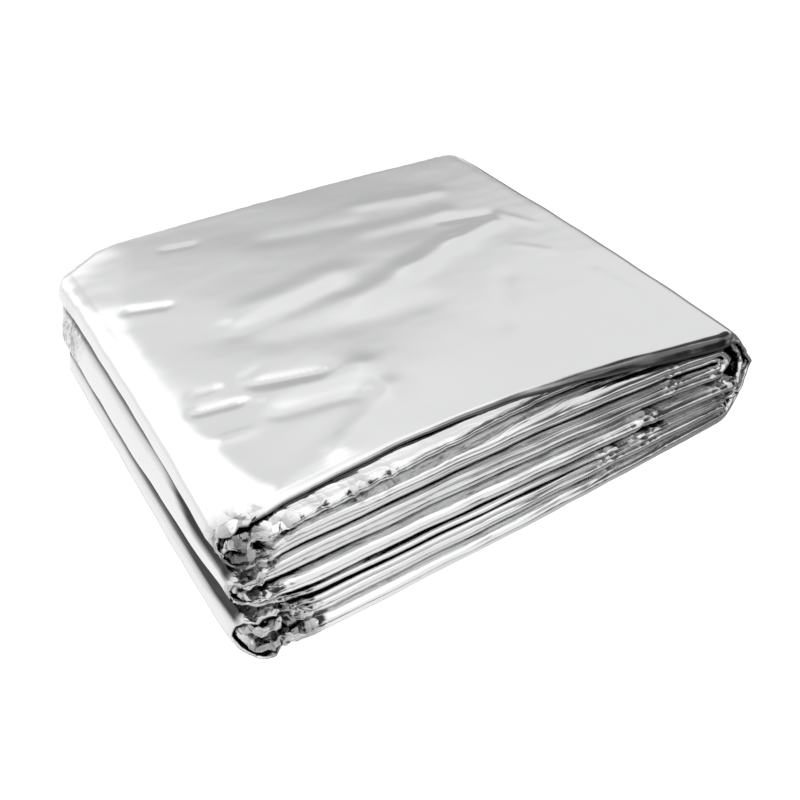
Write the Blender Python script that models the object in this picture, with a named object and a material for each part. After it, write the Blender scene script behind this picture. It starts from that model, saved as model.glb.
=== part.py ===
"""Emergency foil blanket, folded flat as it comes out of its packet.

One sheet of metallised film is pleated in three along its length, and that strip is folded across
into six legs: three bights on the left side, and a small bight inside one large wrap on the right.
The front shows the creases and free edges of every layer.

Metres, +Z up. +X runs along the layered front to the wrap, and +Y goes to the back. The origin is on
the surface that the packet lies on, under the middle of its box.
"""

import math

import bmesh
import bpy

MM = 0.001

# Driving sizes. Each modelled layer stands for a bundle of films that lie together.
LENGTH = 135.0 * MM
DEPTH = 115.0 * MM
LAYER_THICKNESS = 1.0 * MM
PLEATS = 3
CREASE_DEPTH = 1.0 * MM

# Height of the stack over its corners, and how much its middle is crowned above them.
HEIGHT_FRONT_LEFT = 27.8 * MM
HEIGHT_BACK_LEFT = 26.8 * MM
HEIGHT_FRONT_RIGHT = 21.6 * MM
HEIGHT_BACK_RIGHT = 24.4 * MM
CROWN = 2.0 * MM

# The foot is the flat rectangle in the middle of the underside. The layers lift a little outside it.
FOOT_LEFT = -48.0 * MM
FOOT_RIGHT = 38.0 * MM
FOOT_DEPTH = 84.0 * MM
RIM_LIFT = 0.3 * MM
RIM_RISE_WIDTH = 8.0 * MM

# The legs from the top down, in millimetres back from the front and from the back of the box, at
# the left, middle and right. A nose is the crease of two pleats, and an edge is the film's free edge.
LEG_COLUMNS = (
    "nose_left", "nose_middle", "nose_right", "edge_left", "edge_middle", "edge_right",
    "back_nose_left", "back_nose_middle", "back_nose_right",
    "back_edge_left", "back_edge_middle", "back_edge_right", "wave_phase",
)
LEG_ROWS = (
    (8.5, 10.5, 5.8, 10.4, 13.1, 7.1, 1.6, 0.0, 2.4, 3.4, 2.6, 4.4, 0.3),
    (7.1, 8.7, 5.2, 8.2, 10.2, 6.2, 2.4, 1.6, 3.0, 1.2, 2.8, 3.8, 1.9),
    (5.3, 6.8, 5.2, 4.4, 8.0, 6.2, 1.8, 2.6, 1.2, 3.6, 1.4, 2.6, 3.1),
    (3.5, 5.1, 4.3, 4.7, 4.8, 3.9, 3.2, 1.2, 2.2, 1.6, 2.4, 3.4, 4.6),
    (1.7, 3.3, 4.5, 3.0, 4.8, 5.3, 1.0, 2.0, 2.8, 2.8, 3.2, 1.6, 5.4),
    (0.0, 1.3, 4.9, 1.1, 2.6, 5.5, 2.0, 1.0, 1.8, 3.8, 2.2, 3.0, 0.9),
)
EDGE_WAVE = 0.35 * MM
EDGE_WAVE_LENGTH = 47.0 * MM

# Share of the stack that each pair of legs takes up: along the left side at its front, middle and
# back, and along the right side.
PAIR_COLUMNS = ("front_left", "middle_left", "back_left", "right")
PAIR_ROWS = (
    (0.300, 0.255, 0.250, 11 / 34),
    (0.265, 0.505, 0.500, 12 / 34),
    (0.435, 0.240, 0.250, 11 / 34),
)

# The bights: how far left or right the outermost layer reaches, and how far in X its arc goes, at
# the front, middle and back, and how far its tip draws in from the front and back, in millimetres.
BIGHT_COLUMNS = (
    "tip_front", "tip_middle", "tip_back", "arc_front", "arc_middle", "arc_back",
    "draw_in_front", "draw_in_back", "steps",
)
BIGHT_ROWS = {
    "upper_bight": (-66.4, -65.0, -63.8, 4.4, 4.2, 4.2, 2.0, 6.0, 6),
    "middle_bight": (-65.6, -66.9, -66.0, 3.2, 5.0, 5.0, 2.5, 9.0, 6),
    "lower_bight": (-67.5, -67.2, -65.5, 4.6, 3.4, 3.4, 4.0, 11.0, 6),
    "inner_bight": (59.6, 58.0, 53.8, 4.0, 3.8, 3.8, 0.5, 1.0, 6),
    "wrap": (67.5, 64.5, 62.5, 12.0, 10.6, 13.0, 1.5, 5.0, 10),
}
# How far the strip's two ends reach past the start of the wrap.
FOURTH_LEG_END = 4.2 * MM
FIFTH_LEG_END = 1.0 * MM

# How finely the film is divided along a leg, across the outer and inner pleats, and round a crease.
LEG_STEPS = 7
OUTER_PLEAT_STEPS = 7
INNER_PLEAT_STEPS = 5
CREASE_STEPS = 5

FILM_COLOUR = (0.86, 0.87, 0.88, 1.0)
FILM_ROUGHNESS = 0.16
FILM_METALLIC = 1.0

LEGS = [dict(zip(LEG_COLUMNS, row)) for row in LEG_ROWS]
PAIRS = [dict(zip(PAIR_COLUMNS, row)) for row in PAIR_ROWS]
BIGHTS = {name: dict(zip(BIGHT_COLUMNS, row)) for name, row in BIGHT_ROWS.items()}
LAYERS = PLEATS * len(LEGS)


def mix(a, b, share):
    return a + (b - a) * share


def clamp(value):
    return min(1.0, max(0.0, value))


def through(first, middle, last, share):
    """A smooth curve through three values, at share 0, a half and 1."""
    bow = middle - (first + last) / 2
    return mix(first, last, share) + 4 * bow * share * (1 - share)


def share_along(x):
    """0 at the left side of the box and 1 at the right."""
    return clamp(x / LENGTH + 0.5)


def share_back(y):
    """0 at the front of the box and 1 at the back."""
    return clamp(y / DEPTH + 0.5)


def stack_height(x, y):
    u = share_along(x)
    v = share_back(y)
    front = mix(HEIGHT_FRONT_LEFT, HEIGHT_FRONT_RIGHT, u)
    back = mix(HEIGHT_BACK_LEFT, HEIGHT_BACK_RIGHT, u)
    return mix(front, back, v) + CROWN * 16 * u * (1 - u) * v * (1 - v)


def underside(x, y):
    """Height of the underside: 0 over the foot, and the lift of the rim outside it."""
    outside = max(FOOT_LEFT - x, x - FOOT_RIGHT, abs(y) - FOOT_DEPTH / 2)
    return RIM_LIFT * clamp(outside / RIM_RISE_WIDTH)


def layer_share(layer, x, y):
    """How high a layer lies in the stack, from 0 at the bottom to 1 at the top."""
    u = share_along(x)
    v = share_back(y)
    above_bottom = LAYERS - 1 - layer
    top, middle, bottom = (
        mix(through(pair["front_left"], pair["middle_left"], pair["back_left"], v), pair["right"], u)
        for pair in PAIRS
    )
    per_pair = LAYERS / len(PAIRS)
    outer_steps = per_pair - 0.5
    if above_bottom < outer_steps:
        return bottom * above_bottom / outer_steps
    if above_bottom < outer_steps + per_pair:
        return bottom + middle * (above_bottom - outer_steps) / per_pair
    return bottom + middle + top * (above_bottom - outer_steps - per_pair) / outer_steps


def layer_height(layer, x, y):
    """Height of the middle of a layer. Layer 0 is the top one, and the last lies on the surface."""
    lowest = underside(x, y) + LAYER_THICKNESS / 2
    highest = stack_height(x, y) - LAYER_THICKNESS / 2
    return mix(lowest, highest, layer_share(layer, x, y))


def layer_of(leg, pleat):
    """The layer that a pleat is in a leg. Every second bight turns the strip over."""
    turned = leg % 2 == 1
    return PLEATS * leg + (PLEATS - 1 - pleat if turned else pleat)


def edge_y(leg, kind, side, u):
    """Where a leg's nose or edge ends, at the front or the back."""
    row = LEGS[leg]
    prefix = "back_" + kind if side == "back" else kind
    set_back = through(row[prefix + "_left"], row[prefix + "_middle"], row[prefix + "_right"], u) * MM
    angle = math.tau * u * LENGTH / EDGE_WAVE_LENGTH + row["wave_phase"]
    wave = EDGE_WAVE * (1 + math.sin(angle)) * 4 * u * (1 - u)
    return (DEPTH / 2 - set_back - wave) * (1 if side == "back" else -1)


def bight_value(name, what, y):
    row = BIGHTS[name]
    return through(row[what + "_front"], row[what + "_middle"], row[what + "_back"], share_back(y)) * MM


def bight_start(name, y):
    """Where the legs end and the bight's arc begins, in X."""
    side = 1 if BIGHTS[name]["tip_middle"] > 0 else -1
    return bight_value(name, "tip", y) - side * (bight_value(name, "arc", y) + LAYER_THICKNESS / 2)


def leg_station(leg, start, end, share):
    """A place along a leg: how to find a point on a pleat there, and its ends in Y.

    The places between the leg's two ends are straight across, so that the foot is a rectangle.
    """

    def point(pleat, y):
        measured_at = 0.0 if 0 < share < 1 else y
        x = mix(start(measured_at), end(measured_at), share)
        return (x, y, layer_height(layer_of(leg, pleat), x, y))

    def limit(kind, side):
        return edge_y(leg, kind, side, share_along(mix(start(0), end(0), share)))

    return point, limit


def bight_station(name, first_leg, last_leg, share):
    """A place around a bight, from its first leg at share 0 to its last leg at share 1."""
    side = 1 if BIGHTS[name]["tip_middle"] > 0 else -1
    turn = math.pi * share

    def layers_apart(pleat):
        return abs(layer_of(first_leg, pleat) - layer_of(last_leg, pleat))

    outermost = max(range(PLEATS), key=layers_apart)

    def heights(pleat, y):
        x = bight_start(name, y)
        return [layer_height(layer_of(leg, pleat), x, y) for leg in (first_leg, last_leg)]

    def point(pleat, y):
        x = bight_start(name, y)
        first, last = heights(pleat, y)
        first_outer, last_outer = heights(outermost, y)
        reach = bight_value(name, "arc", y) * (first - last) / (first_outer - last_outer)
        z = (first + last) / 2 + (first - last) / 2 * math.cos(turn)
        return (x + side * reach * math.sin(turn), y, z)

    def limit(kind, edge_side):
        u = share_along(bight_start(name, 0))
        ends = [edge_y(leg, kind, edge_side, u) for leg in (first_leg, last_leg)]
        draw_in = BIGHTS[name]["draw_in_" + edge_side] * MM * math.sin(turn)
        inward = -1 if edge_side == "back" else 1
        return mix(ends[0], ends[1], (1 - math.cos(turn)) / 2) + inward * draw_in

    return point, limit


def leg_end(name, past=0.0):
    """Where a leg ends in X for each Y: at the start of a bight, or a set way past it."""

    def place(y):
        return bight_start(name, y) + past

    return place


def strip_stations():
    """The strip from its inner end in the fourth leg to its other end in the fifth leg."""
    route = (
        ("leg", 3, leg_end("wrap", FOURTH_LEG_END), leg_end("middle_bight")),
        ("bight", "middle_bight", 3, 2),
        ("leg", 2, leg_end("middle_bight"), leg_end("inner_bight")),
        ("bight", "inner_bight", 2, 1),
        ("leg", 1, leg_end("inner_bight"), leg_end("upper_bight")),
        ("bight", "upper_bight", 1, 0),
        ("leg", 0, leg_end("upper_bight"), leg_end("wrap")),
        ("bight", "wrap", 0, 5),
        ("leg", 5, leg_end("wrap"), leg_end("lower_bight")),
        ("bight", "lower_bight", 5, 4),
        ("leg", 4, leg_end("lower_bight"), leg_end("wrap", FIFTH_LEG_END)),
    )
    stations = []
    for kind, which, first, last in route:
        if kind == "leg":
            stations += [leg_station(which, first, last, i / LEG_STEPS) for i in range(LEG_STEPS + 1)]
        else:
            steps = BIGHTS[which]["steps"]
            stations += [bight_station(which, first, last, i / steps) for i in range(1, steps)]
    return stations


def crease(point, first, last, y, outward):
    """Points of a half turn from one pleat to the next, between their edges."""
    a = point(first, y)
    b = point(last, y)
    points = []
    for i in range(1, CREASE_STEPS):
        turn = math.pi * i / CREASE_STEPS
        share = (1 - math.cos(turn)) / 2
        x, _, z = (mix(a[axis], b[axis], share) for axis in range(3))
        points.append((x, y + outward * CREASE_DEPTH * math.sin(turn), z))
    return points


def across(start, end, steps):
    """Places in Y from one side of a pleat to its other. Those in between are the same all along the strip."""
    side = math.copysign(DEPTH / 2, end)
    return [start] + [mix(-side, side, i / steps) for i in range(1, steps)] + [end]


def cross_section(station):
    """The pleated strip from edge to edge: free front edge, back crease, front crease, free back edge."""
    point, limit = station
    room = CREASE_DEPTH + LAYER_THICKNESS / 2
    front_edge = limit("edge", "front")
    back_crease = limit("nose", "back") - room
    front_crease = limit("nose", "front") + room
    back_edge = limit("edge", "back")
    runs = (
        (0, front_edge, back_crease, OUTER_PLEAT_STEPS),
        (1, back_crease, front_crease, INNER_PLEAT_STEPS),
        (2, front_crease, back_edge, INNER_PLEAT_STEPS),
    )
    points = []
    for pleat, start, end, steps in runs:
        points += [point(pleat, y) for y in across(start, end, steps)]
        if pleat < PLEATS - 1:
            points += crease(point, pleat, pleat + 1, end, 1 if end > start else -1)
    return points


def to_box_centre(mesh):
    """The move in X and Y that puts the middle of the mesh's box over the origin."""
    ends = [(min(values), max(values)) for values in zip(*(v.co.xy for v in mesh.verts))]
    return tuple(-(low + high) / 2 for low, high in ends) + (0.0,)


def film_sheet():
    """The middle surface of the folded film, as one grid of quads."""
    mesh = bmesh.new()
    rows = [[mesh.verts.new(p) for p in cross_section(station)] for station in strip_stations()]
    for row, next_row in zip(rows, rows[1:]):
        for i in range(len(row) - 1):
            mesh.faces.new((row[i], row[i + 1], next_row[i + 1], next_row[i]))
    bmesh.ops.recalc_face_normals(mesh, faces=mesh.faces)
    bmesh.ops.translate(mesh, verts=mesh.verts, vec=to_box_centre(mesh))
    return mesh


def film_material():
    material = bpy.data.materials.new("metallised_film")
    material.use_nodes = True
    shader = material.node_tree.nodes["Principled BSDF"]
    shader.inputs["Base Color"].default_value = FILM_COLOUR
    shader.inputs["Roughness"].default_value = FILM_ROUGHNESS
    shader.inputs["Metallic"].default_value = FILM_METALLIC
    return material


def build_blanket():
    mesh = bpy.data.meshes.new("foil_blanket")
    sheet = film_sheet()
    sheet.to_mesh(mesh)
    sheet.free()
    mesh.materials.append(film_material())
    mesh.shade_smooth()
    mesh.set_sharp_from_angle(angle=math.radians(50))
    blanket = bpy.data.objects.new("foil_blanket", mesh)
    bpy.context.scene.collection.objects.link(blanket)
    thicken = blanket.modifiers.new("film_thickness", "SOLIDIFY")
    thicken.thickness = LAYER_THICKNESS
    thicken.offset = 0.0
    return blanket


def clear_scene():
    for obj in list(bpy.data.objects):
        bpy.data.objects.remove(obj)


clear_scene()
build_blanket()
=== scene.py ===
"""The emergency foil blanket as it shows: one thin metallised film, folded into a flat packet.

The film is pleated in three along its length, and that strip is folded across into six legs. Its
shape is worked out in millimetres, and the mesh is in metres. +X runs along the layered front to
the wrap, +Y goes to the back, and +Z is up.
"""

import math
import random

import bpy
import numpy as np
from mathutils import Matrix, Vector, noise


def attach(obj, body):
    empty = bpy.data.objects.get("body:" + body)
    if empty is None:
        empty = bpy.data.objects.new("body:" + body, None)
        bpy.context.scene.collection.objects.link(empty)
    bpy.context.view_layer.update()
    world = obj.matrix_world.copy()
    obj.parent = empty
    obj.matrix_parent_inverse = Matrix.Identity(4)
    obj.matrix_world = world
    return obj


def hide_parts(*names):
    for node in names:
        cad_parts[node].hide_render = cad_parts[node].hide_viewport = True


MM = 0.001

# Driving sizes of the packet, in millimetres.
LENGTH = 135.0
DEPTH = 115.0
FILM = 0.6
PLEATS = 3
FRONT_NOSE = (1, 2)
BACK_NOSE = (0, 1)
HEIGHT_FRONT_LEFT = 27.7
HEIGHT_BACK_LEFT = 26.8
HEIGHT_FRONT_RIGHT = 21.9
HEIGHT_BACK_RIGHT = 24.4
CROWN = 2.0

# The legs from the top down, in millimetres back from the front and from the back of the box, at
# even steps from left to right. A nose is the crease of two pleats, and an edge is the film's free
# edge. The last column is how far the nose's fold reaches in.
LEG_COLUMNS = ("nose", "edge", "back_nose", "back_edge", "fold")
LEG_ROWS = (
    (
        (6.8, 8.1, 11.4, 12.4, 10.2), (8.8, 13.0, 13.9, 10.6, 6.8),
        (1.6, 0.0, 2.4), (3.4, 2.6, 4.4), (3.2, 3.6, 1.4),
    ),
    (
        (6.2, 7.3, 8.7, 8.9, 6.8), (6.9, 8.1, 9.7, 9.7, 7.4),
        (2.4, 1.6, 3.0), (1.2, 2.8, 3.8), (1.6, 1.2, 1.8),
    ),
    (
        (5.3, 6.6, 7.4, 7.4, 5.8), (5.0, 7.0, 8.1, 8.0, 6.4),
        (1.8, 2.6, 1.2), (3.6, 1.4, 2.6), (1.2, 2.0, 1.3),
    ),
    ((3.5, 5.1, 4.3), (3.7, 4.7, 3.9), (3.2, 1.2, 2.2), (1.6, 2.4, 3.4), (2.0, 1.4, 1.8)),
    ((1.7, 3.3, 4.5), (2.7, 4.0, 5.0), (1.0, 2.0, 2.8), (2.8, 3.2, 1.6), (1.4, 1.9, 1.2)),
    ((0.2, 1.3, 4.9), (1.1, 2.6, 5.5), (2.0, 1.0, 1.8), (3.8, 2.2, 3.0), (1.8, 1.3, 1.6)),
)
EDGE_RIPPLE = 0.22
EDGE_RIPPLE_LENGTHS = (60.0, 33.0, 17.0)
# At the back left the two upper legs are cut back slantwise, from this X and by this much at most.
BACK_CUT = 6.0
BACK_CUT_START = -52.0
BACK_CUT_WIDTH = 14.0
NICK = 0.03
TOP_NICK = 0.14
NICK_LENGTHS = (5.3, 3.1, 2.2)
LAYER_WAVE = 0.16
LAYER_WAVE_LENGTHS = (80.0, 47.0, 26.0)
# By the front and the back the two layers of a nose spread apart by this share of the room between
# layers. This fades out inwards from a few millimetres in, and towards a leg's ends.
NOSE_BULGE = 0.26
NOSE_REACH = 4.0
NOSE_FADE = 9.0
LEG_END_FADE = 1 / 12
# How far a back nose's fold reaches in.
BACK_FOLD = 1.0

# Share of the stack that each pair of legs takes up: along the left side at its front, middle and
# back, right at the front left corner, and along the right side.
PAIR_COLUMNS = ("left", "corner", "right")
PAIR_ROWS = (
    ((0.290, 0.255, 0.250), 0.30, 11 / 34),
    ((0.400, 0.540, 0.540), 0.18, 12 / 34),
    ((0.310, 0.205, 0.210), 0.52, 11 / 34),
)
CORNER_REACH = 20.0
# The pairs part towards the front of the left side, by this share of their height.
PARTING = 0.30
PARTING_WIDTH = 10.0
PARTING_REACH = 62.0

# The bights: how far left or right the outermost layer reaches, and how far in X its arc goes, at
# the front, middle and back, how far its tip draws in from the front and back, how pointed it is,
# how far its soft waves reach, the angles up to which painted shade darkens the groove below it and
# the groove above it, each at the back and the front, and its steps.
BIGHT_COLUMNS = (
    "tip", "arc", "draw_in_front", "draw_in_back", "pointed", "waves", "below", "above", "steps",
)
BIGHT_ROWS = {
    "upper_bight": (
        (-66.4, -65.0, -64.4), (4.4, 4.2, 4.2), 2.0, 4.0, 0.1, 0.10,
        (20.0, 52.0), (0.0, 0.0), 14,
    ),
    "middle_bight": (
        (-65.6, -66.9, -66.0), (3.2, 5.0, 5.0), 2.5, 9.0, 0.2, 0.14,
        (26.0, 50.0), (18.0, 48.0), 16,
    ),
    "lower_bight": (
        (-67.5, -67.2, -66.3), (4.6, 3.8, 3.6), 4.0, 9.0, 0.3, 0.10,
        (0.0, 0.0), (34.0, 38.0), 14,
    ),
    "inner_bight": (
        (59.6, 58.0, 53.8), (4.0, 3.8, 3.8), 0.5, 1.0, 0.8, 0.0,
        (30.0, 30.0), (30.0, 30.0), 12,
    ),
    "wrap": (
        (67.5, 64.5, 62.5), (12.0, 10.6, 13.0), 1.5, 5.0, 0.45, 0.40,
        (0.0, 0.0), (0.0, 0.0), 26,
    ),
}
BIGHT_WAVE_LENGTHS = (43.0, 25.0, 14.0)
# How much shorter the inner layers' arcs are, and how full the arcs are: 1 is a half round.
NESTING = 0.6
FULLNESS = 0.60
# How far the strip's two ends reach past where the wrap begins, in its fourth and fifth legs.
FOURTH_LEG_END = 4.2
FIFTH_LEG_END = 1.0

# The stack's top falls away by its free front edge, and slopes on down past it.
FRONT_FALL = 0.16
FRONT_FALL_WIDTH = 2.0
FRONT_SLOPE = 0.28
# Along the left it slopes down from a soft crease, given by how far in the crease is from the front
# to the back.
LEFT_CREASE = (17.0, 13.0, 9.2, 9.2, 10.6, 17.5, 18.0)
LEFT_CREASE_BEND = 1.3
LEFT_SLOPE = 0.125
# How far the top pleat's free edge turns down, from left to right, how steep it is there, and how
# tight its bend is.
EDGE_CURL = (0.12, 0.35, 0.75, 2.1, 2.3)
EDGE_CURL_SLOPE = 1.9
EDGE_CURL_BEND = 0.35
EDGE_CURL_REACH = 8.0
# How dark the painted shade on the turned-down lip is, and how far past it this goes and fades out.
EDGE_SHADE = 0.88
EDGE_SHADE_PAST = 0.25
EDGE_SHADE_FADE = 0.3

# Soft troughs (below 0) and ridges (above 0) in the top: from one end to the other, half width and
# rise, in millimetres. Past its ends a mark fades out over its half width times MARK_END.
MARK_COLUMNS = ("x0", "y0", "x1", "y1", "half_width", "rise")
MARK_ROWS = (
    (-37.0, 46.0, -31.5, 44.9, 1.2, -0.34),
    (-54.0, 25.0, -47.0, 22.6, 1.4, -0.40),
    (-42.4, -10.5, -39.2, -9.9, 1.0, -0.26),
    (-41.0, -14.0, -29.5, -17.4, 2.1, -0.58),
    (-40.0, -19.0, -20.0, -20.5, 2.6, 0.30),
    (-53.2, -10.6, -49.5, -11.0, 1.0, -0.26),
    (-54.8, -16.1, -47.2, -17.3, 1.3, -0.44),
    (-54.5, -25.9, -49.6, -26.5, 1.3, 0.20),
    (-41.0, -24.9, -27.0, -26.8, 2.4, -0.40),
    (-50.0, -43.2, -36.3, -39.2, 2.4, 0.34),
    (-36.3, -39.2, -19.0, -29.8, 2.8, 0.42),
    (-19.0, -29.8, -20.5, -20.0, 3.0, 0.34),
    (-8.0, 1.5, 8.0, 6.6, 3.6, 0.50),
    (8.0, 6.6, 24.0, 11.9, 3.2, 0.60),
    (24.0, 11.9, 38.5, 15.6, 2.6, 0.56),
    (-30.0, -3.0, 3.0, -7.0, 4.6, -0.40),
    (-36.0, 4.4, -12.0, 7.4, 3.6, -0.36),
    (-34.0, 9.5, -8.0, 14.0, 4.0, 0.44),
    (29.0, 22.4, 40.0, 20.2, 1.8, -0.40),
    (10.0, 27.0, 30.0, 26.0, 3.2, 0.44),
    (15.0, 40.0, 34.0, 37.0, 2.8, 0.36),
    (-14.0, 36.0, 6.0, 33.0, 3.4, -0.32),
    (37.5, 2.7, 42.4, -2.1, 1.4, 0.16),
    (42.6, 18.8, 47.3, 11.5, 1.6, 0.24),
    (25.7, -6.9, 15.0, -22.0, 2.4, -0.22),
    (47.2, -17.0, 50.7, -42.2, 2.4, 0.26),
)
MARK_END = 1.3
# The crease from the back corner, which parts the top from a facet that slopes to the right. The
# facet fades out towards the front.
CORNER_CREASE = ((44.6, 50.0), (41.3, 30.4), (39.7, 17.0))
CORNER_FACET_SLOPE = 0.018
CORNER_FACET_START = 12.0
CORNER_FACET_FADE = 14.0
# Low clouds all over the top: how high, how slanted and how long, and the slower waves that break
# them up.
CLOUD = 0.20
CLOUD_SLANT = 0.55
CLOUD_LENGTHS = (30.0, 51.0)
CLOUD_BREAK = 0.6
CLOUD_BREAK_SLANT = 0.7
CLOUD_BREAK_LENGTHS = (37.0, 61.0)
# The marks, the clouds and the facet fade out by the free front edge.
TOP_FADE = 4.0

# Where the film is crumpled: place, radius and how far it moves, in millimetres.
CRUMPLE_COLUMNS = ("x", "y", "z", "radius", "reach")
CRUMPLE_ROWS = (
    (-62.0, -50.0, 22.5, 8.0, 1.5),
    (-63.0, -54.0, 14.0, 7.0, 1.3),
    (-59.0, -56.0, 4.0, 9.0, 1.5),
    (-66.0, 40.0, 16.0, 9.0, 0.6),
    (61.0, -50.0, 12.0, 9.5, 0.75),
    (42.0, -50.0, 16.5, 4.0, 0.6),
    (-53.5, -49.6, 24.2, 3.6, 0.9),
    (-46.0, -48.6, 25.2, 3.2, 0.5),
    (-38.0, -49.2, 24.9, 3.6, 0.6),
    (-30.0, -48.8, 24.6, 2.6, 0.5),
    (33.0, -52.0, 9.0, 5.0, 0.6),
    (22.0, -53.0, 7.0, 4.0, 0.5),
)
CRUMPLE_SIZE = 2.6
# The crumples' noise starts from this number, so that they are the same each time.
CRUMPLE_SEED = 3
# A crumple is whole up to this share of its radius, and gone this share past its radius. Weights
# below the least one are left out.
CRUMPLE_EDGE = 0.25
CRUMPLE_LEAST = 0.02
# Its soft bends, and the crisp ones: how much finer they are, where they are taken from the same
# noise, and the level that they go up and down from.
CRUMPLE_BEND = 0.8
CRISP_FINENESS = 2.1
CRISP_SHIFT = (7.3, 1.9, 4.4)
CRISP_LEVEL = 0.25

# How far in from the edge that covers it the film gets painted shade, over how far this grows, and how
# dark it is at most. Past the angle up to which a groove between bights has painted shade, that shade fades
# out over some more degrees.
COVERED_START = 0.3
COVERED_WIDTH = 3.2
COVERED_SHADE = 0.60
GROOVE_FADE = 18.0
# The painted shade in the grooves widens towards the front, from this Y and over this far.
GROOVE_SHADE_WIDENS_START = -16.0
GROOVE_SHADE_WIDENS_WIDTH = 20.0

# How finely the film is divided. A leg's steps are closer together at its ends.
LEG_STEPS = 88
LEG_CROWDING = 0.35
FRONT_OFFSETS = (0.0, 0.35, 0.75, 1.15, 1.6, 2.2, 3.2, 4.6, 6.2, 8.5)
BACK_OFFSETS = (6.0, 2.6, 0.9, 0.0)
FINE_MIDDLE = 114
COARSE_STRIDE = 38
FOLD_STEPS = 6
# The fine lines fade out over this far in from a pleat's front.
NEAR_FOLD_FADE = 2.5

LEGS = [dict(zip(LEG_COLUMNS, row)) for row in LEG_ROWS]
PAIRS = [dict(zip(PAIR_COLUMNS, row)) for row in PAIR_ROWS]
BIGHTS = {name: dict(zip(BIGHT_COLUMNS, row)) for name, row in BIGHT_ROWS.items()}
MARKS = [dict(zip(MARK_COLUMNS, row)) for row in MARK_ROWS]
CRUMPLES = [dict(zip(CRUMPLE_COLUMNS, row)) for row in CRUMPLE_ROWS]
LAYERS = PLEATS * len(LEGS)


def mix(a, b, share):
    return a + (b - a) * share


def smooth(value):
    """0 below 0, 1 above 1, and an even S between."""
    value = np.clip(value, 0.0, 1.0)
    return value * value * (3 - 2 * value)


def curve(values, share):
    """A smooth curve through values at even steps, with share 0 at the first and 1 at the last."""
    places = np.linspace(0.0, 1.0, len(values))
    return np.polyval(np.polyfit(places, values, len(values) - 1), share)


def hump(share):
    """0 at shares 0 and 1, and 1 halfway."""
    return 4 * share * (1 - share)


def soft_step_up(value, bend):
    """0 well below 0 and the value itself well above 0, with a soft bend between."""
    return (value + np.sqrt(value ** 2 + bend ** 2)) / 2


def ripple(place, name, reach, lengths):
    """An uneven wave, always the same for one name."""
    draws = random.Random(name)
    total = 0.0
    for length in lengths:
        turns = place / length * draws.uniform(0.8, 1.25) + draws.random()
        total = total + np.sin(math.tau * turns)
    return reach * total / len(lengths)


def share_along(x):
    return np.clip(x / LENGTH + 0.5, 0.0, 1.0)


def share_back(y):
    return np.clip(y / DEPTH + 0.5, 0.0, 1.0)


def edge_y(leg, kind, side, x):
    """Where a leg's nose or edge ends, at the front or the back."""
    u = share_along(x)
    column = "back_" + kind if side == "back" else kind
    set_back = curve(LEGS[leg][column], u)
    if side == "back" and leg < 2:
        set_back = set_back + BACK_CUT * np.clip((BACK_CUT_START - x) / BACK_CUT_WIDTH, 0, 1)
    name = f"{side} {kind} {leg}"
    wave = ripple(x, name, EDGE_RIPPLE, EDGE_RIPPLE_LENGTHS) * hump(u)
    nick = TOP_NICK if (leg, kind) == (0, "nose") else NICK
    wave = wave + ripple(x, name + " nicks", nick, NICK_LENGTHS)
    return (DEPTH / 2 - set_back + wave - EDGE_RIPPLE) * (1 if side == "back" else -1)


def front_line(x):
    """The free front edge of the top pleat, without its ripple."""
    return curve(LEGS[0]["edge"], share_along(x)) - DEPTH / 2


def stack_height(x, y):
    u = share_along(x)
    v = share_back(y)
    front = mix(HEIGHT_FRONT_LEFT, HEIGHT_FRONT_RIGHT, u)
    back = mix(HEIGHT_BACK_LEFT, HEIGHT_BACK_RIGHT, u)
    height = mix(front, back, v) + CROWN * hump(u) * hump(v)
    behind = y - front_line(x)
    height = height - FRONT_FALL * np.clip(1 - behind / FRONT_FALL_WIDTH, 0, 1) ** 2
    height = height - FRONT_SLOPE * np.maximum(0.0, -behind)
    past_crease = curve(LEFT_CREASE, v) - (x + LENGTH / 2)
    return height - LEFT_SLOPE * soft_step_up(past_crease, LEFT_CREASE_BEND)


def layer_share(layer, x, y):
    """How high a layer lies in the stack, from 0 at the bottom to 1 at the top."""
    u = share_along(x)
    v = share_back(y)
    corner = smooth(1 - np.hypot(x + LENGTH / 2, y + DEPTH / 2) / CORNER_REACH)
    top, middle, bottom = (
        mix(mix(curve(pair["left"], v), pair["right"], u), pair["corner"], corner) for pair in PAIRS
    )
    near_left = smooth(1 - (x + LENGTH / 2) / PARTING_WIDTH)
    near_front = smooth(1 - (y + DEPTH / 2) / PARTING_REACH)
    parting = PARTING * near_left * near_front
    per_pair = LAYERS / len(PAIRS)
    outer_steps = per_pair - 0.5
    above_bottom = LAYERS - 1 - layer
    if above_bottom < outer_steps:
        return bottom * above_bottom / outer_steps * (1 - parting)
    if above_bottom < outer_steps + per_pair:
        from_middle = (above_bottom - outer_steps) / per_pair - 0.5
        return bottom + middle * (0.5 + from_middle * (1 - parting))
    from_top = (LAYERS - 1 - above_bottom) / outer_steps
    return 1 - top * from_top * (1 - parting)


def layer_height(layer, x, y):
    """Height of the middle of a layer. Layer 0 is the top one, and the last lies on the surface."""
    room = stack_height(x, y) - FILM
    return FILM / 2 + room * layer_share(layer, x, y)


def layer_of(leg, pleat):
    """The layer that a pleat is in a leg. Every second bight turns the strip over."""
    turned = leg % 2 == 1
    return PLEATS * leg + (PLEATS - 1 - pleat if turned else pleat)


def nose_side(leg, pleat, nose):
    """1 for the upper of the two pleats in a nose, -1 for the lower, and 0 for a pleat outside it."""
    if pleat not in nose:
        return 0
    other = sum(nose) - pleat
    return 1 if layer_of(leg, pleat) < layer_of(leg, other) else -1


def bight_value(name, what, y):
    return curve(BIGHTS[name][what], share_back(y))


def bight_side(name):
    return 1 if BIGHTS[name]["tip"][1] > 0 else -1


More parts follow.
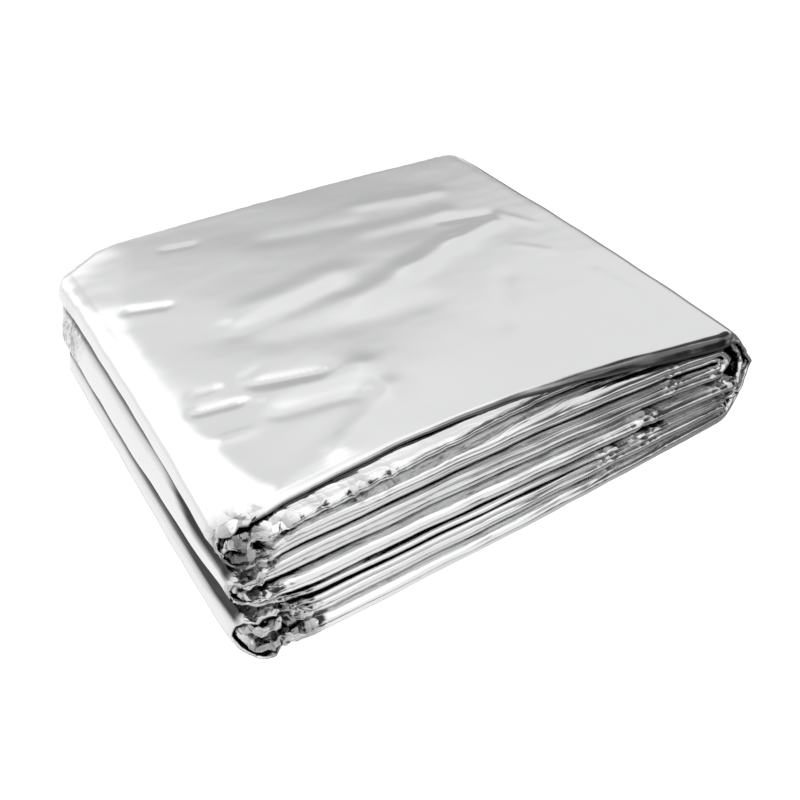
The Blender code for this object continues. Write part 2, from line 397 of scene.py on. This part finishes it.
def bight_start(name, y):
    """Where the legs end and the bight's arc begins, in X."""
    return bight_value(name, "tip", y) - bight_side(name) * (bight_value(name, "arc", y) + FILM / 2)


def covered(layer, x, y):
    """How much painted shade a place of a layer gets, from 0 in the open to 1 well below the layers above.
    """
    if layer in (0, LAYERS - 1):
        return np.zeros_like(y)
    kinds = [(leg, kind) for leg in range(len(LEGS)) for kind in ("edge", "nose")]
    above = [(leg, kind) for leg, kind in kinds if layer_of(leg, 0 if kind == "edge" else 1) < layer]
    front = min(edge_y(leg, kind, "front", x) for leg, kind in above)
    back = max(edge_y(leg, "nose" if kind == "edge" else "edge", "back", x) for leg, kind in above)
    inside = np.minimum(y - front, back - y)
    return smooth((inside - COVERED_START) / COVERED_WIDTH)


class LegStation:
    """A place along a leg, between where it starts and ends in X."""

    def __init__(self, leg, start, end, share):
        self.leg = leg
        self.start = start
        self.end = end
        self.share = share - LEG_CROWDING * math.sin(math.tau * share) / math.tau
        self.top = 1.0 if leg == 0 else 0.0
        self.fine = leg == 0

    def point(self, pleat, y):
        x = mix(self.start(y), self.end(y), self.share)
        layer = layer_of(self.leg, pleat)
        z = layer_height(layer, x, y)
        if layer in (0, LAYERS - 1):
            return x, z
        near_front = np.exp(-np.maximum(0.0, DEPTH / 2 - NOSE_REACH + y) / NOSE_FADE)
        near_back = np.exp(-np.maximum(0.0, DEPTH / 2 - NOSE_REACH - y) / NOSE_FADE)
        wave = ripple(x, f"layer {layer}", LAYER_WAVE, LAYER_WAVE_LENGTHS) * (near_front + near_back)
        room = (layer_height(layer - 1, x, y) - layer_height(layer + 1, x, y)) / 2
        spread = nose_side(self.leg, pleat, FRONT_NOSE) * near_front
        spread = spread + nose_side(self.leg, pleat, BACK_NOSE) * near_back
        away_from_ends = smooth(min(self.share, 1 - self.share) / LEG_END_FADE)
        return x, z + (wave + NOSE_BULGE * room * spread) * away_from_ends

    def shade(self, pleat, y):
        x = mix(self.start(0.0), self.end(0.0), self.share)
        return COVERED_SHADE * covered(layer_of(self.leg, pleat), x, y)

    def limit(self, kind, side):
        x = mix(self.start(0.0), self.end(0.0), self.share)
        return edge_y(self.leg, kind, side, x)

    def fold(self):
        x = mix(self.start(0.0), self.end(0.0), self.share)
        return curve(LEGS[self.leg]["fold"], share_along(x))


class BightStation:
    """A place around a bight, from its first leg at share 0 to its last leg at share 1."""

    def __init__(self, name, first_leg, last_leg, share):
        self.name = name
        self.legs = (first_leg, last_leg)
        self.turn = math.pi * share
        apart = [abs(layer_of(first_leg, p) - layer_of(last_leg, p)) for p in range(PLEATS)]
        self.outermost = apart.index(max(apart))
        near_top = {"upper_bight": share, "wrap": 1 - share}.get(name, 0.0)
        self.top = float(smooth(2 * near_top - 1))
        self.fine = name != "inner_bight"

    def heights(self, pleat, x, y):
        return [layer_height(layer_of(leg, pleat), x, y) for leg in self.legs]

    def point(self, pleat, y):
        x = bight_start(self.name, y)
        first, last = self.heights(pleat, x, y)
        first_outer, last_outer = self.heights(self.outermost, x, y)
        inside = (first - last) / (first_outer - last_outer)
        wave = ripple(y, f"{self.name} waves", BIGHTS[self.name]["waves"], BIGHT_WAVE_LENGTHS)
        reach = (bight_value(self.name, "arc", y) + wave) * np.maximum(inside, 0.0) ** NESTING
        pointed = BIGHTS[self.name]["pointed"]
        wedge = 1 - abs(math.cos(self.turn))
        out = mix(math.sin(self.turn) ** FULLNESS, wedge, pointed)
        z = mix(first, last, (1 - math.cos(self.turn)) / 2)
        return x + bight_side(self.name) * reach * out, z

    def shade(self, pleat, y):
        x = bight_start(self.name, 0.0)
        first, last = (covered(layer_of(leg, pleat), x, y) for leg in self.legs)
        # Painted shade in the grooves beside the bight, wider towards the front.
        widening = smooth((GROOVE_SHADE_WIDENS_START - y) / GROOVE_SHADE_WIDENS_WIDTH)
        below = mix(*BIGHTS[self.name]["below"], widening)
        above = mix(*BIGHTS[self.name]["above"], widening)
        from_first = math.degrees(self.turn)
        first_is_upper = self.legs[0] < self.legs[1]
        at_first, at_last = (above, below) if first_is_upper else (below, above)
        first = first * smooth(1 - (from_first - at_first) / GROOVE_FADE)
        last = last * smooth(1 - (180 - from_first - at_last) / GROOVE_FADE)
        return np.maximum(first, last)

    def limit(self, kind, side):
        x = bight_start(self.name, 0.0)
        first, last = (edge_y(leg, kind, side, x) for leg in self.legs)
        draw_in = BIGHTS[self.name]["draw_in_" + side] * math.sin(self.turn)
        inward = -1 if side == "back" else 1
        return mix(first, last, (1 - math.cos(self.turn)) / 2) + inward * draw_in

    def fold(self):
        u = share_along(bight_start(self.name, 0.0))
        first, last = (curve(LEGS[leg]["fold"], u) for leg in self.legs)
        return mix(first, last, (1 - math.cos(self.turn)) / 2)


def leg_end(name, past=0.0):
    """Where a leg ends in X for each Y: at the start of a bight, or a set way past it."""

    def place(y):
        return bight_start(name, y) + past

    return place


def strip_stations():
    """The strip from its inner end in the fourth leg to its other end in the fifth leg."""
    route = (
        ("leg", 3, leg_end("wrap", FOURTH_LEG_END), leg_end("middle_bight")),
        ("bight", "middle_bight", 3, 2),
        ("leg", 2, leg_end("middle_bight"), leg_end("inner_bight")),
        ("bight", "inner_bight", 2, 1),
        ("leg", 1, leg_end("inner_bight"), leg_end("upper_bight")),
        ("bight", "upper_bight", 1, 0),
        ("leg", 0, leg_end("upper_bight"), leg_end("wrap")),
        ("bight", "wrap", 0, 5),
        ("leg", 5, leg_end("wrap"), leg_end("lower_bight")),
        ("bight", "lower_bight", 5, 4),
        ("leg", 4, leg_end("lower_bight"), leg_end("wrap", FIFTH_LEG_END)),
    )
    stations = []
    for kind, which, first, last in route:
        if kind == "leg":
            stations += [LegStation(which, first, last, i / LEG_STEPS) for i in range(LEG_STEPS + 1)]
        else:
            steps = BIGHTS[which]["steps"]
            stations += [BightStation(which, first, last, i / steps) for i in range(1, steps)]
    return stations


def across(start, end, fine):
    """Places in Y from one side of a pleat to its other, close together at the front, and their keys."""
    front = min(start, end)
    back = max(start, end)
    last = len(FRONT_OFFSETS) - 1
    kept = list(range(0, last, 1 if fine else 2)) + [last]
    near = front + np.array(FRONT_OFFSETS)[kept]
    far = back - np.array(BACK_OFFSETS)
    inner = np.arange(1, FINE_MIDDLE) if fine else np.arange(COARSE_STRIDE, FINE_MIDDLE, COARSE_STRIDE)
    middle = mix(near[-1], far[0], inner / FINE_MIDDLE)
    places = np.concatenate((near, middle, far))
    keys = [f"front {i}" for i in kept]
    keys += [f"middle {i}" for i in inner]
    keys += [f"back {i}" for i in range(len(far))]
    if end < start:
        return places[::-1], keys[::-1]
    return places, keys


class Film:
    """The film's points, row by row, with what is known of each."""

    def __init__(self):
        self.points = []
        self.keys = []
        self.top = []
        self.from_edge = []
        self.near_fold = []
        self.shade = []

    def row(self, station):
        """Adds one row, from the free front edge over the back and front folds to the free back edge."""
        room = station.fold() + FILM / 2
        back_room = BACK_FOLD + FILM / 2
        front_edge = station.limit("edge", "front")
        back_fold = station.limit("nose", "back") - back_room
        front_fold = station.limit("nose", "front") + room
        back_edge = station.limit("edge", "back")
        runs = ((0, front_edge, back_fold), (1, back_fold, front_fold), (2, front_fold, back_edge))
        keys = []
        points = []
        top = []
        from_edge = []
        near_fold = []
        shade = []
        for pleat, start, end in runs:
            y, names = across(start, end, station.fine and pleat == 0)
            x, z = station.point(pleat, y)
            points.append(np.stack((x * np.ones_like(y), y, z * np.ones_like(y)), axis=1))
            keys += [f"{pleat} {name}" for name in names]
            top.append(np.full(len(y), station.top if pleat == 0 else 0.0))
            from_edge.append(y - start if pleat == 0 else np.full(len(y), DEPTH))
            near_fold.append(np.exp(-(y - min(start, end)) / NEAR_FOLD_FADE))
            dark = station.shade(pleat, y)
            shade.append(dark if pleat else np.maximum(dark, lip_shade(station, y)))
            if pleat < PLEATS - 1:
                at_front = end < start
                points.append(self.fold(station, pleat, end, room if at_front else back_room))
                keys += [f"fold {pleat} {i}" for i in range(1, FOLD_STEPS)]
                top.append(np.zeros(FOLD_STEPS - 1))
                from_edge.append(np.full(FOLD_STEPS - 1, DEPTH))
                near_fold.append(np.ones(FOLD_STEPS - 1))
                # A fold gets half the painted shade at the end of the pleat before it.
                shade.append(np.full(FOLD_STEPS - 1, shade[-1][-1] / 2))
        self.keys.append(keys)
        self.points.append(np.concatenate(points))
        self.top.append(np.concatenate(top))
        self.from_edge.append(np.concatenate(from_edge))
        self.near_fold.append(np.concatenate(near_fold))
        self.shade.append(np.concatenate(shade))

    @staticmethod
    def fold(station, pleat, y, room):
        """The half turn from one pleat to the next."""
        edge = np.array([y])
        x0, z0 = station.point(pleat, edge)
        x1, z1 = station.point(pleat + 1, edge)
        turn = math.pi * np.arange(1, FOLD_STEPS) / FOLD_STEPS
        share = (1 - np.cos(turn)) / 2
        outward = math.copysign(room - FILM / 2, y)
        return np.stack((mix(x0, x1, share), y + outward * np.sin(turn), mix(z0, z1, share)), axis=1)


def marks_on_top(x, y):
    """How far the soft troughs and ridges move the top pleat, in Z."""
    rise = ripple(x * CLOUD_SLANT + y, "clouds", CLOUD, CLOUD_LENGTHS)
    breaks = ripple(y * CLOUD_BREAK_SLANT - x, "cloud breaks", CLOUD_BREAK, CLOUD_BREAK_LENGTHS)
    rise = rise * (CLOUD_BREAK + breaks)
    for mark in MARKS:
        start = np.array((mark["x0"], mark["y0"]))
        along = np.array((mark["x1"], mark["y1"])) - start
        length = np.hypot(*along)
        along = along / length
        way = (x - start[0]) * along[0] + (y - start[1]) * along[1]
        side = (y - start[1]) * along[0] - (x - start[0]) * along[1]
        past = np.maximum(0.0, np.maximum(-way, way - length))
        width = mark["half_width"]
        rise = rise + mark["rise"] * np.exp(-((side / width) ** 2) - (past / (MARK_END * width)) ** 2)
    return rise


def edge_turn_down(x, from_edge):
    """How far the top pleat turns down by its free edge: a straight lip below a soft bend."""
    inside = curve(EDGE_CURL, share_along(x)) / EDGE_CURL_SLOPE - from_edge
    return EDGE_CURL_SLOPE * soft_step_up(inside, EDGE_CURL_BEND) * (from_edge < EDGE_CURL_REACH)


def lip_shade(station, y):
    """The lip that turns down by the free edge gets painted shade."""
    lip = curve(EDGE_CURL, share_along(station.point(0, y[:1])[0][0])) / EDGE_CURL_SLOPE
    from_edge = y - y[0]
    return EDGE_SHADE * station.top * smooth((lip + EDGE_SHADE_PAST - from_edge) / EDGE_SHADE_FADE)


def corner_facet(x, y):
    """The facet to the right of the crease from the back corner slopes down to the right."""
    places = np.array(CORNER_CREASE)[::-1]
    crease = np.interp(y, places[:, 1], places[:, 0])
    fade = smooth((y - CORNER_FACET_START) / CORNER_FACET_FADE)
    return -CORNER_FACET_SLOPE * np.maximum(0.0, x - crease) * fade


def crumple(points):
    """Moves the film where it is crumpled, and gives how crumpled each point is."""
    weights = np.zeros(len(points))
    for spot in CRUMPLES:
        centre = np.array((spot["x"], spot["y"], spot["z"]))
        apart = np.linalg.norm(points - centre, axis=1) / spot["radius"]
        weights = np.maximum(weights, spot["reach"] * smooth(1 + CRUMPLE_EDGE - apart))
    moved = points.copy()
    noise.seed_set(CRUMPLE_SEED)
    for i in np.flatnonzero(weights > CRUMPLE_LEAST):
        place = Vector(points[i] / CRUMPLE_SIZE)
        bend = noise.noise_vector(place) * CRUMPLE_BEND
        crisp = noise.noise_vector(place * CRISP_FINENESS + Vector(CRISP_SHIFT))
        bend += Vector(abs(c) - CRISP_LEVEL for c in crisp)
        moved[i] += weights[i] * np.array(bend)
    moved[:, 2] = np.maximum(moved[:, 2], FILM / 2)
    return moved, weights


def faces_between(keys, next_keys, start, next_start):
    """Faces between two rows. Where one row is finer, its extra points join the wider face."""
    here = {key: i for i, key in enumerate(keys)}
    there = {key: i for i, key in enumerate(next_keys)}
    shared = [key for key in keys if key in there]
    faces = []
    for a, b in zip(shared, shared[1:]):
        side = [start + i for i in range(here[a], here[b] + 1)]
        other = [next_start + i for i in range(there[a], there[b] + 1)]
        faces.append(side + other[::-1])
    return faces


def arc_lengths(rows):
    """How far each point is along the strip and across it, in metres, for the fine grain."""
    along = 0.0
    places = []
    last = None
    for row in rows:
        middle = row[len(row) // 2]
        along += 0.0 if last is None else np.linalg.norm(middle - last)
        last = middle
        steps = np.linalg.norm(np.diff(row, axis=0), axis=1)
        across_row = np.concatenate(([0.0], np.cumsum(steps)))
        places.append(np.stack((np.full(len(row), along), across_row), axis=1))
    return np.concatenate(places) * MM


def film_mesh():
    film = Film()
    for station in strip_stations():
        film.row(station)
    points = np.concatenate(film.points)
    top = np.concatenate(film.top)
    from_edge = np.concatenate(film.from_edge)
    near_fold = np.concatenate(film.near_fold)
    shade = np.concatenate(film.shade)
    grain = arc_lengths(film.points)
    x, y = points[:, 0], points[:, 1]
    near_front = smooth((y - front_line(x)) / TOP_FADE)
    points[:, 2] += top * near_front * (marks_on_top(x, y) + corner_facet(x, y))
    points[:, 2] -= top * edge_turn_down(x, from_edge)
    points, crumpled = crumple(points)
    low = points.min(axis=0)
    high = points.max(axis=0)
    points[:, :2] -= (low[:2] + high[:2]) / 2

    starts = np.cumsum([0] + [len(keys) for keys in film.keys])
    faces = []
    for i in range(len(film.keys) - 1):
        faces += faces_between(film.keys[i], film.keys[i + 1], int(starts[i]), int(starts[i + 1]))
    mesh = bpy.data.meshes.new("folded_film")
    mesh.from_pydata((points * MM).tolist(), [], faces)
    loops = np.zeros(len(mesh.loops), np.int32)
    mesh.loops.foreach_get("vertex_index", loops)
    grain_map = mesh.uv_layers.new(name="grain")
    grain_map.data.foreach_set("uv", grain[loops].astype(np.float32).ravel())
    for name, values in (("near_fold", near_fold), ("crumpled", crumpled), ("shade", shade)):
        attribute = mesh.attributes.new(name, "FLOAT", "POINT")
        attribute.data.foreach_set("value", values.astype(np.float32))
    mesh.shade_smooth()
    return mesh


# The film in the open, and the colour of the painted shade that darkens it deep between its layers.
FILM_COLOUR = (0.82, 0.822, 0.826, 1.0)
PAINTED_SHADE_COLOUR = (0.05, 0.05, 0.052, 1.0)
# Crumpled film shows small facets, some with painted shade: facets to a metre, how dark, how deep.
FACET_SCALE = 520.0
FACET_SHADE = 0.75
FACET_DEPTH = 0.00045
# Haze makes the film more or less of a mirror.
HAZE_SCALE = 45.0
ROUGHNESS_LOW = 0.07
ROUGHNESS_HIGH = 0.16
# Slack waves all over, and fine lines along the folds: how many to a metre each way, how deep.
SLACK_STRETCH = (38.0, 64.0, 60.0)
SLACK_DEPTH = 0.00040
LINE_STRETCH = (14.0, 700.0, 1.0)
LINE_DEPTH = 0.00020


class Shader:
    """Short ways to add and join nodes."""

    def __init__(self, tree):
        self.tree = tree

    def add(self, kind, **settings):
        node = self.tree.nodes.new(kind)
        for name, value in settings.items():
            setattr(node, name, value)
        return node

    def link(self, source, target):
        self.tree.links.new(source, target)

    def maths(self, operation, a, b):
        node = self.add("ShaderNodeMath", operation=operation)
        for socket, value in zip(node.inputs, (a, b)):
            if isinstance(value, (int, float)):
                socket.default_value = value
            else:
                self.link(value, socket)
        return node.outputs[0]

    def map_range(self, value, low, high, new_low, new_high, smoothly=False):
        node = self.add("ShaderNodeMapRange")
        if smoothly:
            node.interpolation_type = "SMOOTHSTEP"
        self.link(value, node.inputs["Value"])
        limits = {"From Min": low, "From Max": high, "To Min": new_low, "To Max": new_high}
        for name, limit in limits.items():
            node.inputs[name].default_value = limit
        return node.outputs["Result"]

    def noise(self, vector, scale, detail, roughness=0.5):
        node = self.add("ShaderNodeTexNoise")
        self.link(vector, node.inputs["Vector"])
        node.inputs["Scale"].default_value = scale
        node.inputs["Detail"].default_value = detail
        node.inputs["Roughness"].default_value = roughness
        return node.outputs["Fac"]

    def stretched(self, vector, stretch):
        node = self.add("ShaderNodeMapping")
        node.inputs["Scale"].default_value = stretch
        self.link(vector, node.inputs["Vector"])
        return node.outputs["Vector"]

    def bump(self, height, distance, normal=None):
        node = self.add("ShaderNodeBump")
        node.inputs["Strength"].default_value = 1.0
        node.inputs["Distance"].default_value = distance
        self.link(height, node.inputs["Height"])
        if normal is not None:
            self.link(normal, node.inputs["Normal"])
        return node.outputs["Normal"]


def film_material():
    """Bright metallised film: a soft mirror with slack waves, fine lines by the folds and crisp crumples."""
    material = bpy.data.materials.new("metallised_film")
    material.use_nodes = True
    tree = material.node_tree
    shader = Shader(tree)
    surface = tree.nodes["Principled BSDF"]
    surface.inputs["Metallic"].default_value = 1.0
    place = shader.add("ShaderNodeTexCoord").outputs["Object"]
    grain = shader.add("ShaderNodeUVMap", uv_map="grain").outputs["UV"]
    near_fold = shader.add("ShaderNodeAttribute", attribute_name="near_fold").outputs["Fac"]
    crumpled = shader.add("ShaderNodeAttribute", attribute_name="crumpled").outputs["Fac"]

    facets = shader.add("ShaderNodeTexVoronoi")
    facets.inputs["Scale"].default_value = FACET_SCALE
    shader.link(place, facets.inputs["Vector"])
    # Painted shade on some crumpled facets, darker by each facet's random colour.
    facet_shade = shader.maths("MULTIPLY", facets.outputs["Color"], crumpled)
    facet_shade = shader.maths("MULTIPLY", facet_shade, FACET_SHADE)
    # Painted shade: the film is mixed towards the painted shade colour between its layers, in grooves, on
    # the lip and on some crumpled facets.
    shade = shader.add("ShaderNodeAttribute", attribute_name="shade").outputs["Fac"]
    colour = shader.add("ShaderNodeMix", data_type="RGBA")
    colour.inputs["A"].default_value = FILM_COLOUR
    colour.inputs["B"].default_value = PAINTED_SHADE_COLOUR
    shader.link(shader.maths("MAXIMUM", shade, facet_shade), colour.inputs["Factor"])
    shader.link(colour.outputs["Result"], surface.inputs["Base Color"])

    haze = shader.noise(place, HAZE_SCALE, 4.0)
    roughness = shader.map_range(haze, 0.3, 0.7, ROUGHNESS_LOW, ROUGHNESS_HIGH)
    shader.link(roughness, surface.inputs["Roughness"])

    slack = shader.noise(shader.stretched(place, SLACK_STRETCH), 1.0, 2.0)
    normal = shader.bump(slack, SLACK_DEPTH)
    lines = shader.noise(shader.stretched(grain, LINE_STRETCH), 1.0, 2.0)
    lines = shader.maths("MULTIPLY", lines, near_fold)
    normal = shader.bump(lines, LINE_DEPTH, normal)
    creased = shader.maths("MULTIPLY", facets.outputs["Distance"], crumpled)
    normal = shader.bump(creased, FACET_DEPTH, normal)
    shader.link(normal, surface.inputs["Normal"])
    return material


def folded_film():
    mesh = film_mesh()
    mesh.materials.append(film_material())
    film = bpy.data.objects.new("folded_film", mesh)
    bpy.context.scene.collection.objects.link(film)
    thicken = film.modifiers.new("film_thickness", "SOLIDIFY")
    thicken.thickness = FILM * MM
    thicken.offset = 0.0
    return film


# The studio round the packet, as soft cards seen from its middle: heading clockwise from +Y,
# elevation, the angle to where the card starts to fade, the angle where it has gone, and its light.
CARD_COLUMNS = ("heading", "elevation", "inner", "outer", "light")
CARD_ROWS = (
    (31.0, 0.0, 12.0, 45.0, 0.55),
    (70.0, 34.0, 16.0, 34.0, 0.89),
    (155.0, 45.0, 26.0, 36.0, 1.0),
    (0.0, 90.0, 27.0, 37.0, 1.28),
    (105.0, 32.0, 19.0, 30.0, 0.06),
    (140.0, 0.0, 12.0, 19.0, 0.08),
    (163.0, 13.0, 4.0, 9.0, 0.20),
    (-60.0, 12.0, 20.0, 36.0, 0.95),
    (11.0, 43.0, 5.0, 15.0, 0.84),
    (-29.0, 45.0, 27.5, 33.0, 1.28),
    (-150.0, 25.0, 26.0, 44.0, 1.10),
)
STUDIO_LIGHT = 0.97
BACKGROUND_LIGHT = 1.05
# The floor's light: past the packet's left and back, and past its front at the left and the right.
FLOOR_LIGHT_BACK = 1.0
FLOOR_LIGHT_FRONT_LEFT = 1.05
FLOOR_LIGHT_FRONT_RIGHT = 0.22
FLOOR_BLEND = 0.012
FLOOR_HALF = 4.0
FLOOR_DROP = 0.0002
FLOOR_COLOUR = (0.05, 0.05, 0.05, 1.0)


def direction(heading, elevation):
    heading = math.radians(heading)
    elevation = math.radians(elevation)
    level = math.cos(elevation)
    return (level * math.sin(heading), level * math.cos(heading), math.sin(elevation))


def studio():
    world = bpy.data.worlds.new("studio")
    bpy.context.scene.world = world
    world.use_nodes = True
    tree = world.node_tree
    shader = Shader(tree)
    background = tree.nodes["Background"]
    way = shader.add("ShaderNodeTexCoord").outputs["Generated"]
    light = None
    for row in CARD_ROWS:
        card = dict(zip(CARD_COLUMNS, row))
        facing = shader.add("ShaderNodeVectorMath", operation="DOT_PRODUCT")
        facing.inputs[1].default_value = direction(card["heading"], card["elevation"])
        shader.link(way, facing.inputs[0])
        outer = math.cos(math.radians(card["outer"]))
        inner = math.cos(math.radians(card["inner"]))
        share = shader.map_range(facing.outputs["Value"], outer, inner, 0.0, 1.0, smoothly=True)
        blend = shader.add("ShaderNodeMix", data_type="FLOAT")
        shader.link(share, blend.inputs["Factor"])
        blend.inputs["A"].default_value = STUDIO_LIGHT
        blend.inputs["B"].default_value = card["light"]
        if light is not None:
            shader.link(light, blend.inputs["A"])
        light = blend.outputs["Result"]
    seen = shader.add("ShaderNodeMix", data_type="FLOAT")
    shader.link(shader.add("ShaderNodeLightPath").outputs["Is Camera Ray"], seen.inputs["Factor"])
    shader.link(light, seen.inputs["A"])
    seen.inputs["B"].default_value = BACKGROUND_LIGHT
    shader.link(seen.outputs["Result"], background.inputs["Strength"])
    background.inputs["Color"].default_value = (1.0, 1.0, 1.0, 1.0)


def floor():
    """A pale floor with its own light, so that it shows no shadow. The film mirrors it as darker past
    the front, to the right."""
    mesh = bpy.data.meshes.new("floor")
    ends = ((-1, -1), (1, -1), (1, 1), (-1, 1))
    corners = [(x * FLOOR_HALF, y * FLOOR_HALF, -FLOOR_DROP) for x, y in ends]
    mesh.from_pydata(corners, [], [(0, 1, 2, 3)])
    material = bpy.data.materials.new("pale_floor")
    material.use_nodes = True
    tree = material.node_tree
    shader = Shader(tree)
    surface = tree.nodes["Principled BSDF"]
    surface.inputs["Base Color"].default_value = FLOOR_COLOUR
    surface.inputs["Roughness"].default_value = 1.0
    surface.inputs["Specular IOR Level"].default_value = 0.0
    surface.inputs["Emission Color"].default_value = (1.0, 1.0, 1.0, 1.0)
    place = shader.add("ShaderNodeSeparateXYZ")
    shader.link(shader.add("ShaderNodeTexCoord").outputs["Object"], place.inputs["Vector"])
    corner = (LENGTH - DEPTH) / 2 * MM
    past_left = shader.maths("SUBTRACT", place.outputs["Y"], place.outputs["X"])
    past_left = shader.maths("SUBTRACT", past_left, corner)
    end = LENGTH / 2 * MM
    front = shader.map_range(
        place.outputs["X"], -end, end, FLOOR_LIGHT_FRONT_LEFT, FLOOR_LIGHT_FRONT_RIGHT, smoothly=True
    )
    at_back = shader.map_range(past_left, -FLOOR_BLEND, FLOOR_BLEND, 0.0, 1.0, smoothly=True)
    light_mix = shader.add("ShaderNodeMix", data_type="FLOAT")
    shader.link(at_back, light_mix.inputs["Factor"])
    shader.link(front, light_mix.inputs["A"])
    light_mix.inputs["B"].default_value = FLOOR_LIGHT_BACK
    light = light_mix.outputs["Result"]
    seen = shader.add("ShaderNodeMix", data_type="FLOAT")
    shader.link(shader.add("ShaderNodeLightPath").outputs["Is Camera Ray"], seen.inputs["Factor"])
    shader.link(light, seen.inputs["A"])
    seen.inputs["B"].default_value = BACKGROUND_LIGHT
    shader.link(seen.outputs["Result"], surface.inputs["Emission Strength"])
    mesh.materials.append(material)
    obj = bpy.data.objects.new("floor", mesh)
    bpy.context.scene.collection.objects.link(obj)


# The photograph's view of the packet.
CAMERA_PLACE = (-0.1000, -0.1668, 0.1568)
CAMERA_HEADING = 31.21
CAMERA_PITCH = 39.74
CAMERA_ROLL = -0.75
CAMERA_LENS = 45.88


def camera():
    heading = math.radians(CAMERA_HEADING)
    ahead = Vector(direction(CAMERA_HEADING, -CAMERA_PITCH))
    right = Vector((math.cos(heading), -math.sin(heading), 0.0))
    up = right.cross(ahead)
    roll = math.radians(CAMERA_ROLL)
    tilted_right = right * math.cos(roll) + up * math.sin(roll)
    tilted_up = up * math.cos(roll) - right * math.sin(roll)
    data = bpy.data.cameras.new("camera")
    data.sensor_width = 36.0
    data.lens = CAMERA_LENS
    data.clip_start = 0.01
    obj = bpy.data.objects.new("camera", data)
    bpy.context.scene.collection.objects.link(obj)
    turn = Matrix((tilted_right, tilted_up, -ahead)).transposed().to_4x4()
    obj.matrix_world = Matrix.Translation(CAMERA_PLACE) @ turn
    bpy.context.scene.camera = obj


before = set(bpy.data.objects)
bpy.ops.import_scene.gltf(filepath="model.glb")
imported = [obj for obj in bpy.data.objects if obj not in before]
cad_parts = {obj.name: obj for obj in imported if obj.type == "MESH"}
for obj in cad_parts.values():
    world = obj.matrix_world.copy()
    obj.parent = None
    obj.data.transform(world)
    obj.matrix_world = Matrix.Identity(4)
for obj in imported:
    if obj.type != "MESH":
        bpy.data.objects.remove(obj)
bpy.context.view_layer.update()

bpy.context.scene.view_settings.view_transform = "Standard"
camera()
studio()
floor()

film = folded_film()
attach(film, "root")
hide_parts("foil_blanket")
